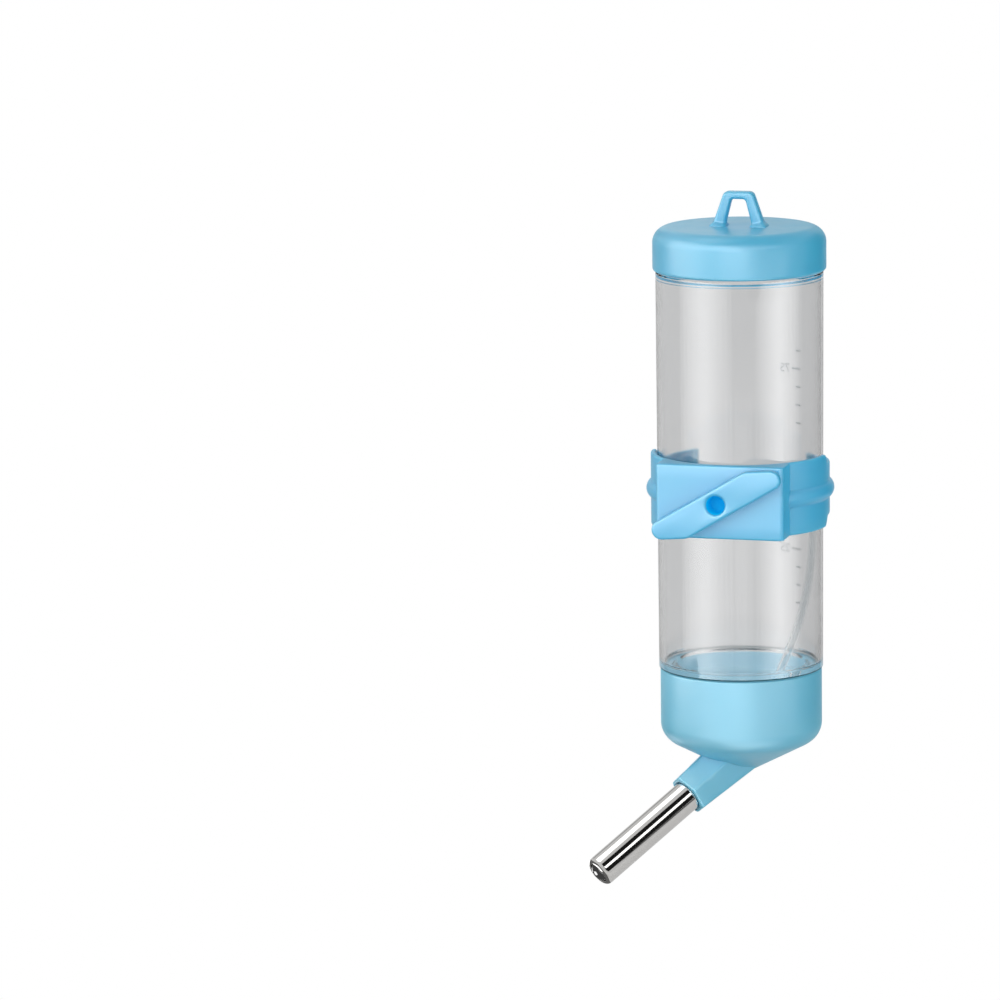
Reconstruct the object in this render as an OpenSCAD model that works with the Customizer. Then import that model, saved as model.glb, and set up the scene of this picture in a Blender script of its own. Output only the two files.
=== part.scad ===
// Hanging drinking bottle for rabbits and other small pets.
// A clear barrel with a screw cap at each end: the top cap carries a hanging loop,
// the base cap carries a slanted steel spout with two balls. A snap ring with a turn
// toggle clips the bottle to the wires of a cage.
// Millimetres, +Z up. Origin: the hanging eye, on the underside of the loop's bar.
// The clip faces -Y.

/* [Barrel] */
// Outside diameter just below the top cap
barrel_d_top = 40.1; // [30:0.1:60]
// Outside diameter just above the base cap
barrel_d_base = 39.5; // [30:0.1:60]
// Wall thickness
barrel_wall = 1.1; // [0.8:0.1:2.5]
// Length between the two neck shoulders
barrel_len = 95.7; // [60:0.1:160]

/* [Top cap] */
// Outside diameter
cap_d = 41.5; // [32:0.1:62]
// Height of the cap without its loop
cap_h = 10.6; // [8:0.1:20]
// Radius of the rounded top edge
cap_round = 3.8; // [1:0.1:5]
// Thickness of the cap's top
cap_roof = 1.8; // [1:0.1:3]
// Height of the underside of the loop's bar over the cap
eye_h = 6.5; // [5:0.1:12]
// Thickness of the loop's bar
loop_bar = 1.8; // [1.2:0.1:3]
// Depth of the loop, front to back
loop_depth = 3.0; // [2:0.1:5]
// Half width of the loop at the top of its bar
loop_top = 3.3; // [2.5:0.1:6]
// Half width of the loop where it meets the cap
loop_foot = 6.5; // [5:0.1:9]

/* [Base cap] */
// Outside diameter
base_d = 38.9; // [30:0.1:60]
// Height of the straight skirt
base_skirt = 13.4; // [10:0.1:25]
// Radius between the skirt and the cone
base_round = 5.4; // [2:0.1:8]
// Slope of the cone under the cap
base_slope = 27.7; // [15:0.1:40]
// Wall of the cup
base_wall = 1.8; // [1.2:0.1:3]

/* [Spout] */
// Direction seen from above, from the clip's facing
spout_turn = -42; // [-90:1:90]
// Slope below the horizontal
spout_dip = 30.8; // [15:0.1:60]
// Outside diameter of the steel tube
tube_d = 7.5; // [6:0.1:12]
// Wall of the steel tube
tube_wall = 0.5; // [0.4:0.05:1]
// Distance from the bottle's axis to the end of the tube
tube_reach = 48.9; // [35:0.1:80]
// Distance from the bottle's axis to the end of the boss
boss_reach = 18.6; // [14:0.1:30]
// Corner radius of the boss at its end
boss_r = 5.4; // [4.8:0.05:9]
// Ball diameter
ball_d = 6.0; // [4:0.1:9]
// Travel of the balls when the tip is pushed in
ball_travel = 1.5; // [0.5:0.1:4]

/* [Vent tube] */
// Outside diameter
vent_d = 2.0; // [1.6:0.1:4]
// Direction seen from above, from the clip's facing
vent_turn = 103; // [0:1:180]
// Lean of its foot
vent_lean = 22; // [5:1:40]
// Bend radius
vent_bend = 75; // [30:1:150]

/* [Cage clip] */
// Height of the ring at the front
clip_h = 17.6; // [12:0.1:30]
// Height of the arms at the back
arm_h = 12.8; // [8:0.1:30]
// Outside diameter of the ring
clip_d = 42.9; // [34:0.1:64]
// Angle from the front to the end of each arm
arm_angle = 133; // [110:1:150]
// Half width of the front block
block_half = 15.5; // [10:0.1:20]
// Distance from the bottle's axis to the block's face
block_face = 22.4; // [21:0.1:32]
// Gap for the cage wire
wire_gap = 2.1; // [1:0.1:5]
// Length of the toggle
toggle_len = 34; // [20:0.1:50]
// Width of the toggle
toggle_w = 8.8; // [5:0.1:14]
// Thickness of the toggle
toggle_t = 2.2; // [1:0.1:4]
// Resting angle of the toggle above the horizontal
toggle_tilt = 25.5; // [0:0.5:90]
// Diameter of the hole in the toggle's pivot
toggle_hole = 4.4; // [2:0.1:8]

/* [Threads] */
// Rise in one turn
pitch = 3.2; // [2:0.1:5]
// Height of a thread over its wall
thread_h = 1.0; // [0.6:0.05:2]

/* [Hidden] */
$fn = 96;

// levels, from the top down
cap_top = -eye_h;
cap_rim = cap_top - cap_h;
shoulder_top = cap_rim - 0.4;
shoulder_base = shoulder_top - barrel_len;
seam = shoulder_base - 0.3;
neck_top_z = cap_top - cap_roof - 1.3;
neck_base_h = 9.2;
neck_base_z = shoulder_base - neck_base_h;

// radii
barrel_rt = barrel_d_top / 2;
barrel_rb = barrel_d_base / 2;
neck_rt = barrel_rt - 2.4;
neck_rb = barrel_rb - 3.05;
neck_wall = 1.4;
cap_r = cap_d / 2;
cap_ri = neck_rt + thread_h + 0.35;
base_r = base_d / 2;
base_ri = neck_rb + thread_h + 0.35;

// seals
seal_t = 1.2;
seal_gap = 0.05;
base_ledge = neck_base_z - seal_t - 2 * seal_gap;
cup_r = neck_rb - 2.5;

// base cap cone
cone_z = seam - base_skirt;
cone_touch_r = base_r - base_round + base_round * sin(base_slope);
cone_touch_z = cone_z - base_round * cos(base_slope);
cone_tip = cone_touch_z - cone_touch_r * tan(base_slope);
cup_tip = cone_tip + base_wall / cos(base_slope);

// spout
spout_z = cone_tip + 6.4;
tube_r = tube_d / 2;
bore_r = tube_r - tube_wall;
ball_r = ball_d / 2;
lip_r = ball_r - 0.45;
lip_in = tube_reach - tube_wall;
ball_s = lip_in - sqrt(ball_r * ball_r - lip_r * lip_r) - 0.05;
back_s = ball_s - ball_d - 0.1;
liner_end = back_s - ball_r - ball_travel - 0.1;

// clip
clip_z = shoulder_top - 52.1;
clip_r = clip_d / 2;
clip_ri = barrel_rt - (barrel_rt - barrel_rb) * 52.1 / barrel_len + 0.3;
block_web = 1.3;
toggle_y = block_face + wire_gap;
post_r = toggle_hole / 2 + 0.9;
post_foot = block_face - block_web - 0.1;

// places its children along the spout, with X pointing down across it and Z along it
module on_spout(s = 0) {
    translate([0, 0, spout_z])
        rotate([0, 0, spout_turn - 90])
            rotate([0, 90 + spout_dip, 0])
                translate([0, 0, s])
                    children();
}

// turns a drawing made in X and Y to face -Y, with its own Y pointing up
module facing_front(y = 0) {
    translate([0, -y, 0])
        rotate([90, 0, 0])
            children();
}

// helical thread: from radius r_wall (buried) to r_crest, between two angles
module thread(r_wall, r_crest, z_start, a_from, a_to) {
    steps = ceil((a_to - a_from) / 10);
    fade = 40;
    side = sign(r_crest - r_wall);
    points = [
        for (i = [0 : steps])
            let (a = a_from + (a_to - a_from) * i / steps,
                 z = z_start + pitch * a / 360,
                 k = min(1, (a - a_from) / fade, (a_to - a) / fade),
                 r = r_wall + side * (0.5 + k * (abs(r_crest - r_wall) - 0.5)),
                 w = 0.15 + 0.25 * k)
            for (q = [[r_wall, -0.9], [r, -w], [r, w], [r_wall, 0.9]])
                [q[0] * cos(a), q[0] * sin(a), z + q[1]]
    ];
    around = side > 0 ? [3, 2, 1, 0] : [0, 1, 2, 3];
    faces = concat(
        [[for (j = [0 : 3]) around[j]]],
        [
            for (i = [0 : steps - 1], j = [0 : 3])
                let (p = 4 * i + around[j], q = 4 * i + around[(j + 1) % 4])
                [q, p, p + 4]
        ],
        [
            for (i = [0 : steps - 1], j = [0 : 3])
                let (p = 4 * i + around[j], q = 4 * i + around[(j + 1) % 4])
                [q, p + 4, q + 4]
        ],
        [[for (j = [3 : -1 : 0]) 4 * steps + around[j]]]
    );
    polyhedron(points = points, faces = faces, convexity = 6);
}

// clear barrel, open at both ends, with a threaded neck at each
module bottle_body() {
    color([0.86, 0.90, 0.92, 0.35])
    union() {
        rotate_extrude()
            difference() {
                polygon([
                    [neck_rt - neck_wall, neck_top_z],
                    [neck_rt, neck_top_z],
                    [neck_rt, shoulder_top],
                    [barrel_rt, shoulder_top],
                    [barrel_rb, shoulder_base],
                    [neck_rb, shoulder_base],
                    [neck_rb, neck_base_z],
                    [neck_rb - neck_wall, neck_base_z],
                    [neck_rb - neck_wall, shoulder_base + 1.1],
                    [barrel_rb - barrel_wall, shoulder_base + 1.3],
                    [barrel_rt - barrel_wall, shoulder_top - 1.3],
                    [neck_rt - neck_wall, shoulder_top - 1.1]
                ]);
                translate([barrel_rt - 0.8, shoulder_top - 0.8])
                    edge_cut(0.8);
                translate([barrel_rb - 0.8, shoulder_base + 0.8])
                    mirror([0, 1])
                        edge_cut(0.8);
            }
        thread(neck_rt - 0.5, neck_rt + thread_h, cap_rim + 1.5, 0, 450);
        thread(neck_rb - 0.5, neck_rb + thread_h, neck_base_z + 1.8, 0, 450);
    }
}

// material outside a quarter circle, for rounding a turned edge
module edge_cut(r) {
    difference() {
        square([r + 1, r + 1]);
        circle(r);
    }
}

// outline of the hanging loop, seen from the front
module loop_outline() {
    top = eye_h + loop_bar;
    difference() {
        union() {
            polygon([
                [-loop_foot, -1],
                [-loop_foot, 0],
                [-loop_top - 0.55, top - 1.25],
                [-loop_top + 0.35, top],
                [loop_top - 0.35, top],
                [loop_top + 0.55, top - 1.25],
                [loop_foot, 0],
                [loop_foot, -1]
            ]);
            for (side = [-1, 1])
                translate([side * (loop_top - 0.4), top - 1])
                    circle(1);
        }
        polygon([
            [-3.1, 0],
            [-2.9, 2.2],
            [-2.1, eye_h - 0.9],
            [-1.2, eye_h],
            [1.2, eye_h],
            [2.1, eye_h - 0.9],
            [2.9, 2.2],
            [3.1, 0]
        ]);
        for (side = [-1, 1])
            translate([side * 1.25, eye_h - 0.9])
                circle(0.9);
    }
}

// screw cap with the hanging loop moulded on its top
module top_cap() {
    color([0.36, 0.73, 0.91])
    union() {
        rotate_extrude()
            difference() {
                translate([0, cap_rim])
                    square([cap_r, cap_h]);
                translate([cap_r - cap_round, cap_top - cap_round])
                    edge_cut(cap_round);
                translate([cap_r - 1, cap_rim + 1])
                    mirror([0, 1])
                        edge_cut(1);
                polygon([
                    [-1, cap_rim - 1],
                    [cap_ri, cap_rim - 1],
                    [cap_ri, cap_top - cap_roof - 1.2],
                    [cap_ri - 1.2, cap_top - cap_roof],
                    [-1, cap_top - cap_roof]
                ]);
            }
        thread(cap_ri + 0.5, neck_rt + 0.35, cap_rim + 1.5 - pitch / 2, 135, 480);
        translate([0, 0, cap_top])
            facing_front(-loop_depth / 2)
                linear_extrude(loop_depth)
                    loop_outline();
    }
}

// flat ring that seals the top neck against the cap's roof
module top_seal() {
    color([0.93, 0.93, 0.92])
    translate([0, 0, neck_top_z + seal_gap])
        flat_ring(neck_rt - neck_wall - 1.4, neck_rt, seal_t);
}

module flat_ring(r_in, r_out, t) {
    difference() {
        cylinder(h = t, r = r_out);
        translate([0, 0, -1])
            cylinder(h = t + 2, r = r_in);
    }
}

// flat ring that seals the base neck against the ledge in the base cap
module base_seal() {
    color([0.93, 0.93, 0.92])
    translate([0, 0, base_ledge + seal_gap])
        flat_ring(neck_rb - neck_wall - 1.0, neck_rb, seal_t);
}

// outside of the base cap, as half a section
module base_outside() {
    union() {
        translate([0, cone_z])
            square([base_r, base_skirt]);
        translate([base_r - base_round, cone_z])
            circle(base_round);
        polygon([
            [0, cone_z],
            [base_r - base_round, cone_z],
            [cone_touch_r, cone_touch_z],
            [0, cone_tip]
        ]);
    }
}

// hollow inside the base cap, as half a section
module base_inside() {
    polygon([
        [0, seam + 1],
        [base_ri, seam + 1],
        [base_ri, base_ledge],
        [cup_r, base_ledge],
        [cup_r, cup_tip + cup_r * tan(base_slope)],
        [0, cup_tip]
    ]);
}

// screw base with the slanted boss that holds the spout
module base_cap() {
    color([0.38, 0.75, 0.91])
    difference() {
        union() {
            rotate_extrude()
                difference() {
                    intersection() {
                        base_outside();
                        translate([0, cone_tip - 1])
                            square([base_r + 1, 60]);
                    }
                    base_inside();
                    translate([base_r - 0.5, seam - 0.5])
                        edge_cut(0.5);
                }
            thread(base_ri + 0.5, neck_rb + 0.35, neck_base_z + 1.8 + pitch / 2, -120, 225);
            difference() {
                on_spout(0)
                    cylinder(h = boss_reach, r1 = boss_r + 1.18, r2 = boss_r, $fn = 6);
                rotate_extrude()
                    base_inside();
            }
            intersection() {
                on_vent_foot(-6)
                    cylinder(h = 8.5, r = vent_d / 2 + 1.2);
                rotate_extrude()
                    base_outside();
            }
        }
        on_spout(2.0)
            cylinder(h = boss_reach, r = tube_r + 0.05);
        on_spout(10.5)
            cylinder(h = 1.7, r = tube_r + 0.75);
        on_vent_foot(0)
            cylinder(h = 10, r = vent_d / 2 + 0.05);
        on_vent_foot(-1.2)
            cylinder(h = 2, r = 0.7);
        on_vent_foot(-0.9)
            rotate([90, 0, 0])
                cylinder(h = 8, r = 0.8, center = true);
    }
}

// polished steel tube, rolled in at its tip to hold the balls
module spout_tube() {
    roll = 1.1;
    color([0.80, 0.80, 0.80])
    on_spout(0)
        rotate_extrude()
            difference() {
                union() {
                    translate([bore_r, 6])
                        square([tube_wall, tube_reach - roll - 6]);
                    translate([tube_r - roll, tube_reach - roll])
                        intersection() {
                            circle(roll);
                            square(roll + 1);
                        }
                    translate([lip_r, tube_reach - tube_wall])
                        square([tube_r - roll - lip_r, tube_wall]);
                }
                translate([tube_r - roll, tube_reach - roll])
                    intersection() {
                        circle(roll - tube_wall);
                        square(roll);
                    }
            }
}

// rubber ring round the steel tube, in a groove inside the boss
module tube_seal() {
    color([0.15, 0.15, 0.16])
    on_spout(10.6)
        flat_ring(tube_r + 0.02, tube_r + 0.72, 1.5);
}

// plastic sleeve inside the steel tube that stops the balls; notched so water passes
module tube_liner() {
    color([0.92, 0.93, 0.93])
    on_spout(8)
        difference() {
            flat_ring(1.9, bore_r - 0.05, liner_end - 8);
            for (a = [0 : 120 : 240])
                rotate([0, 0, a])
                    translate([0, -0.6, liner_end - 8 - 1.6])
                        cube([bore_r + 1, 1.2, 3]);
        }
}

// steel ball that closes the tip
module tip_ball() {
    color([0.78, 0.78, 0.79])
    on_spout(ball_s)
        sphere(ball_r);
}

// second steel ball, resting on the first
module back_ball() {
    color([0.78, 0.78, 0.79])
    on_spout(back_s)
        sphere(ball_r);
}

// places its children on the straight foot of the vent tube, Z along it
module on_vent_foot(s = 0) {
    rotate([0, 0, vent_turn - 90])
        translate([2.0, 0, cup_tip + 5.2])
            rotate([0, vent_lean, 0])
                translate([0, 0, s])
                    children();
}

// clear air tube: leaning foot, one bend, then straight up along the wall
module vent_tube() {
    wall_r = barrel_rb - barrel_wall - 0.35 - vent_d / 2;
    bend_rise = vent_bend * sin(vent_lean);
    bend_run = vent_bend * (1 - cos(vent_lean));
    foot_rise = (wall_r - bend_run - 2.0) / tan(vent_lean);
    bend_z = cup_tip + 5.2 + foot_rise + bend_rise;
    // each stop: distance from the axis, height, lean
    stops = concat(
        [[2.0 + 0.05 * sin(vent_lean), cup_tip + 5.2 + 0.05 * cos(vent_lean), vent_lean]],
        [
            for (a = [vent_lean : -vent_lean / 12 : -0.01])
                [wall_r - vent_bend * (1 - cos(a)), bend_z - vent_bend * sin(a), a]
        ],
        [[wall_r, bend_z + 14, 0]]
    );
    sides = 24;
    last = len(stops) - 1;
    points = [
        for (r = [vent_d / 2, vent_d / 2 - 0.45], p = stops, k = [0 : sides - 1])
            let (u = r * cos(360 * k / sides), v = r * sin(360 * k / sides))
            [p[0] + u * cos(p[2]), v, p[1] - u * sin(p[2])]
    ];
    inner = sides * (last + 1);
    function at(i, k) = i * sides + k % sides;
    color([0.88, 0.92, 0.94, 0.5])
    rotate([0, 0, vent_turn - 90])
        polyhedron(
            points = points,
            faces = concat(
                [for (i = [0 : last - 1], k = [0 : sides - 1]) [at(i, k), at(i + 1, k), at(i + 1, k + 1)]],
                [for (i = [0 : last - 1], k = [0 : sides - 1]) [at(i, k), at(i + 1, k + 1), at(i, k + 1)]],
                [for (i = [0 : last - 1], k = [0 : sides - 1])
                    [inner + at(i, k), inner + at(i + 1, k + 1), inner + at(i + 1, k)]],
                [for (i = [0 : last - 1], k = [0 : sides - 1])
                    [inner + at(i, k), inner + at(i, k + 1), inner + at(i + 1, k + 1)]],
                [for (k = [0 : sides - 1]) [at(0, k), at(0, k + 1), inner + at(0, k + 1)]],
                [for (k = [0 : sides - 1]) [at(0, k), inner + at(0, k + 1), inner + at(0, k)]],
                [for (k = [0 : sides - 1]) [at(last, k), inner + at(last, k + 1), at(last, k + 1)]],
                [for (k = [0 : sides - 1]) [at(last, k), inner + at(last, k), inner + at(last, k + 1)]]
            ),
            convexity = 6
        );
}

// wedge seen from above that keeps the ring between two angles from the front
module front_sector(half_angle, r) {
    polygon([
        [0, 0],
        for (a = [-half_angle : half_angle / 6 : half_angle + 0.01])
            [r * sin(a), -r * cos(a)]
    ]);
}

// side view of the ring: tall at the front, lower along the arms
module ring_side() {
    polygon([
        [-40, -clip_h / 2],
        [-1.9, -clip_h / 2],
        [0.5, -arm_h / 2],
        [40, -arm_h / 2],
        [40, arm_h / 2],
        [0.5, arm_h / 2],
        [-1.9, clip_h / 2],
        [-40, clip_h / 2]
    ]);
}

// snap ring with the flat front block that the toggle turns in
module clip_ring() {
    color([0.36, 0.74, 0.93])
    translate([0, 0, clip_z])
        difference() {
            union() {
                intersection() {
                    linear_extrude(clip_h, center = true)
                        intersection() {
                            circle(clip_r);
                            front_sector(arm_angle, 60);
                        }
                    rotate([90, 0, 90])
                        linear_extrude(80, center = true)
                            ring_side();
                }
                translate([-block_half, -block_face, -clip_h / 2])
                    cube([2 * block_half, block_face - 14.2, clip_h]);
                for (from = [38, -arm_angle])
                    rotate([0, 0, from - 90])
                        rotate_extrude(angle = arm_angle - 38)
                            intersection() {
                                translate([clip_r - 1.3, 0])
                                    circle(2.4);
                                translate([clip_ri + 0.5, -4])
                                    square([8, 8]);
                            }
                for (side = [-1, 1])
                    rotate([0, 0, side * arm_angle])
                        translate([0, -(clip_r + clip_ri) / 2, 0])
                            cylinder(h = arm_h, r = 1.1, center = true, $fn = 48);
            }
            cylinder(h = clip_h + 2, r = clip_ri, center = true);
            facing_front(30)
                translate([0, 0, -5])
                    mirror([0, 0, 1])
                        cylinder(h = 20, r = post_r + 0.05);
            facing_front(block_face - block_web)
                mirror([0, 0, 1])
                    cylinder(h = 10, r = post_r + 1.1);
        }
}

// outline of the turning bar, lying along X
module toggle_outline() {
    half = toggle_len / 2;
    straight = half - 7;
    tip_r = toggle_w * 0.27;
    tip_x = half - tip_r;
    rise = atan((toggle_w / 2 - tip_r * 0.93) / (tip_x + tip_r * 0.37 - straight));
    union() {
        polygon([
            for (q = [0 : 3])
                let (sx = (q == 0 || q == 3) ? 1 : -1,
                     sy = q < 2 ? 1 : -1,
                     far = [sx * (tip_x + tip_r * sin(rise)), sy * tip_r * cos(rise)],
                     near = [sx * straight, sy * toggle_w / 2])
                each (sx * sy > 0 ? [far, near] : [near, far])
        ]);
        for (side = [-1, 1])
            translate([side * tip_x, 0])
                circle(tip_r);
    }
}

// turning bar with its hollow pivot post and snap flange
module toggle() {
    color([0.38, 0.76, 0.94])
    translate([0, 0, clip_z])
        difference() {
            union() {
                facing_front(toggle_y)
                    rotate([0, 0, toggle_tilt])
                        linear_extrude(toggle_t)
                            toggle_outline();
                facing_front(post_foot)
                    cylinder(h = toggle_y - post_foot + 0.5, r = post_r);
                facing_front(post_foot - 0.6)
                    cylinder(h = 0.6, r = post_r + 0.65);
            }
            facing_front(block_face - 0.3)
                cylinder(h = 20, r = toggle_hole / 2);
            facing_front(toggle_y + toggle_t - 0.45)
                cylinder(h = 1, r1 = toggle_hole / 2, r2 = toggle_hole / 2 + 1);
        }
}

// Which part to draw

bottle_body();
top_cap();
top_seal();
base_cap();
base_seal();
spout_tube();
tube_seal();
tube_liner();
tip_ball();
back_ball();
vent_tube();
clip_ring();
toggle();
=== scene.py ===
"""Looks of the hanging pet water bottle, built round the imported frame.

Millimetres are used for the shapes and turned into metres when a mesh is made.
The camera and the studio are in metres.
"""
import math

import bmesh
import bpy
from mathutils import Matrix, Vector


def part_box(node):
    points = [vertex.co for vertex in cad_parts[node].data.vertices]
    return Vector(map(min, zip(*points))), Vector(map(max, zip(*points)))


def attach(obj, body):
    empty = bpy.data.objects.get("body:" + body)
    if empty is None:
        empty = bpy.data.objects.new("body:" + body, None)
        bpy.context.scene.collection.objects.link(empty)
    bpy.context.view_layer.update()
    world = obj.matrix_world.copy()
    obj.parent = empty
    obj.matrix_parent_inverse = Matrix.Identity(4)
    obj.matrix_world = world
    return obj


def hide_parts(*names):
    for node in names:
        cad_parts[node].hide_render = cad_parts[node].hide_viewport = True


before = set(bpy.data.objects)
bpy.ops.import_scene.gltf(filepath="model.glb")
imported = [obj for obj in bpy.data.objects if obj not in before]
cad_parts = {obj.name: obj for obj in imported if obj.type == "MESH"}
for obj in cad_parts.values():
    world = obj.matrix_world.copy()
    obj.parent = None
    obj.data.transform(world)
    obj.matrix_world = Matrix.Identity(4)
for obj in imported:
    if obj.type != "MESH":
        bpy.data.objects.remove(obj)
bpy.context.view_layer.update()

MM = 0.001
# segments of a full turn
SEGMENTS = 192
# room that tests on the centres of faces leave
HAIR = 0.05


# ---------------------------------------------------------------- measures from the frame
def mm_box(node):
    """Lower and upper corner of a node's box, in millimetres."""
    lo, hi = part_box(node)
    return lo / MM, hi / MM


cap_lo, cap_hi = mm_box("top_cap")
body_lo, body_hi = mm_box("bottle_body")
base_hi = mm_box("base_cap")[1]
clip_lo, clip_hi = mm_box("clip_ring")
toggle_lo = mm_box("toggle")[0]
vent_hi = mm_box("vent_tube")[1]
tip_lo, tip_hi = mm_box("tip_ball")
back_lo, back_hi = mm_box("back_ball")

# levels
joint_gap = 0.12
cap_height = 10.6
cap_roof = 1.8
loop_top_z = cap_hi.z
cap_rim = cap_lo.z
cap_top = cap_rim + cap_height
neck_top_z = body_hi.z
neck_base_z = body_lo.z
seam = base_hi.z
shoulder_top = cap_rim - joint_gap
shoulder_base = seam + joint_gap

# radii
barrel_taper = 0.3
cap_r = cap_hi.x
barrel_rt = body_hi.x
barrel_rb = barrel_rt - barrel_taper
barrel_wall = 1.1
neck_rt = barrel_rt - 2.4
neck_rb = barrel_rb - 3.05
neck_wall = 1.4
base_r = base_hi.x

# threads: height, pitch, and the profile's half width at its foot and run of a flank
thread_h = 1.0
inner_thread_h = 0.95
pitch = 3.2
thread_foot = 0.85
thread_flank = 0.45
thread_fade_deg = 40
thread_row = 0.17
thread_room = 0.35
top_thread_z = cap_rim + 1.5
base_thread_z = neck_base_z + 1.8
cap_ri = neck_rt + thread_h + thread_room
base_ri = neck_rb + thread_h + thread_room

# cone under the base, and the cup inside it
base_round = 5.4
base_wall = 1.8
slope = math.radians(27.7)
cone_z = seam - 13.4
cone_touch_r = base_r - base_round + base_round * math.sin(slope)
cone_tip = cone_z - base_round * math.cos(slope) - cone_touch_r * math.tan(slope)
cup_tip = cone_tip + base_wall / math.cos(slope)
cup_r = neck_rb - 2.5
base_ledge = neck_base_z - 1.3

# spout: along the line through the centres of its two balls, from the bottle's axis
boss_reach = 18.6
boss_r = 5.4
tube_r = 3.75
tube_wall = 0.5
tube_start = 6.0
tube_reach = 48.9
tip_centre = (tip_lo + tip_hi) / 2
back_centre = (back_lo + back_hi) / 2
ball_r = (tip_hi.x - tip_lo.x) / 2
spout_dir = (tip_centre - back_centre).normalized()
spout_origin = tip_centre - spout_dir * (tip_centre.xy.length / spout_dir.xy.length)

# clip: the barrel's taper down to the clip's middle sets the ring's inside
barrel_len = 95.7
clip_drop = 52.1
clip_gap = 0.3
clip_z = (clip_lo.z + clip_hi.z) / 2
clip_half = (clip_hi.z - clip_lo.z) / 2
clip_r = 21.45
clip_ri = barrel_rt - barrel_taper * clip_drop / barrel_len + clip_gap
arm_half = 6.4
arm_end = math.radians(133)
block_half = 15.5
block_face = -clip_lo.y
wire_gap = 2.1
toggle_back = block_face + wire_gap
toggle_front = -toggle_lo.y
post_r = 3.1


# ---------------------------------------------------------------- outlines
def fillet(corners, closed=True, step=9.0):
    """Outline through (x, y, radius) corners; a corner with a radius becomes an arc."""
    out = []
    count = len(corners)
    for i, (x, y, r) in enumerate(corners):
        p = Vector((x, y))
        if r <= 0 or (not closed and i in (0, count - 1)):
            out.append((x, y))
            continue
        u = (Vector(corners[i - 1][:2]) - p).normalized()
        v = (Vector(corners[(i + 1) % count][:2]) - p).normalized()
        half = u.angle(v) / 2
        centre = p + (u + v).normalized() * (r / math.sin(half))
        first = p + u * (r / math.tan(half)) - centre
        last = p + v * (r / math.tan(half)) - centre
        start = math.atan2(first.y, first.x)
        sweep = (math.atan2(last.y, last.x) - start + math.pi) % math.tau - math.pi
        steps = max(2, math.ceil(abs(math.degrees(sweep)) / step))
        for k in range(steps + 1):
            a = start + sweep * k / steps
            out.append((centre.x + r * math.cos(a), centre.y + r * math.sin(a)))
    return out


def subdivide(points, step, where=None, closed=True):
    """Adds points so that no edge, or none for which where(a, b) holds, is longer than step."""
    out = []
    last = len(points) if closed else len(points) - 1
    for i in range(last):
        a, b = points[i], points[(i + 1) % len(points)]
        out.append(a)
        length = math.dist(a, b)
        if (where is None or where(a, b)) and length > step:
            n = math.ceil(length / step)
            out += [(a[0] + (b[0] - a[0]) * k / n, a[1] + (b[1] - a[1]) * k / n) for k in range(1, n)]
    if not closed:
        out.append(points[-1])
    return out


def upright_at(*radii):
    """Test for subdivide: edges that stand at one of the radii."""
    return lambda a, b: any(abs(a[0] - r) < 0.01 and abs(b[0] - r) < 0.01 for r in radii)


def resample(points, count):
    """count points at equal steps of length along an open line."""
    lengths = [0.0]
    for a, b in zip(points, points[1:]):
        lengths.append(lengths[-1] + math.dist(a, b))
    out, i = [], 0
    for k in range(count):
        want = lengths[-1] * k / (count - 1)
        while i < len(points) - 2 and lengths[i + 1] < want:
            i += 1
        t = (want - lengths[i]) / max(lengths[i + 1] - lengths[i], 1e-9)
        out.append(tuple(p + (q - p) * t for p, q in zip(points[i], points[i + 1])))
    return out


def smooth(t):
    """Eases from 0 to 1 as t does."""
    t = min(1.0, max(0.0, t))
    return t * t * (3 - 2 * t)


def quarter_arc(r, steps):
    """Distances from the two sides of a corner to the points of its rounding of radius r."""
    turns = [math.pi / 2 * k / steps for k in range(steps + 1)]
    return [(r * (1 - math.sin(a)), r * (1 - math.cos(a))) for a in turns]


# ---------------------------------------------------------------- meshes
def add_object(name, bm, place=None, sharp=38):
    """Object from a mesh drawn in millimetres, with edges over sharp degrees kept sharp."""
    bmesh.ops.recalc_face_normals(bm, faces=bm.faces)
    mesh = bpy.data.meshes.new(name)
    bm.to_mesh(mesh)
    bm.free()
    mesh.transform(Matrix.Scale(MM, 4) @ (place or Matrix.Identity(4)))
    mesh.shade_smooth()
    mesh.set_sharp_from_angle(angle=math.radians(sharp))
    obj = bpy.data.objects.new(name, mesh)
    bpy.context.scene.collection.objects.link(obj)
    return obj


def bridge(bm, a, b):
    """Faces between two rings of vertices; a ring of one vertex is a pole."""
    n = max(len(a), len(b))
    for k in range(n):
        quad = [a[k % len(a)], a[(k + 1) % len(a)], b[(k + 1) % len(b)], b[k % len(b)]]
        quad = [v for i, v in enumerate(quad) if v not in quad[:i]]
        bm.faces.new(quad)


def skin(name, rings, close=False, place=None, sharp=38):
    """Closed mesh over rings of points; open ends get a flat face unless they are poles."""
    bm = bmesh.new()
    rows = [[bm.verts.new(p) for p in ring] for ring in rings]
    for a, b in zip(rows, rows[1:]):
        bridge(bm, a, b)
    if close:
        bridge(bm, rows[-1], rows[0])
    else:
        for row in (rows[0], rows[-1]):
            if len(row) > 2:
                bm.faces.new(row)
    return add_object(name, bm, place, sharp)


def lathe(name, profile, place=None, shape=None, ring=True, segments=SEGMENTS, sharp=38):
    """Turns (r, z) points round Z. A ring's outline is closed; a solid's starts and ends on the axis."""
    rings = []
    for r, z in profile:
        if r < 1e-6:
            rings.append([(0, 0, z)])
            continue
        row = []
        for k in range(segments):
            a = math.tau * k / segments
            rr = shape(r, z, a) if shape else r
            row.append((rr * math.cos(a), rr * math.sin(a), z))
        rings.append(row)
    return skin(name, rings, ring, place, sharp)


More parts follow.
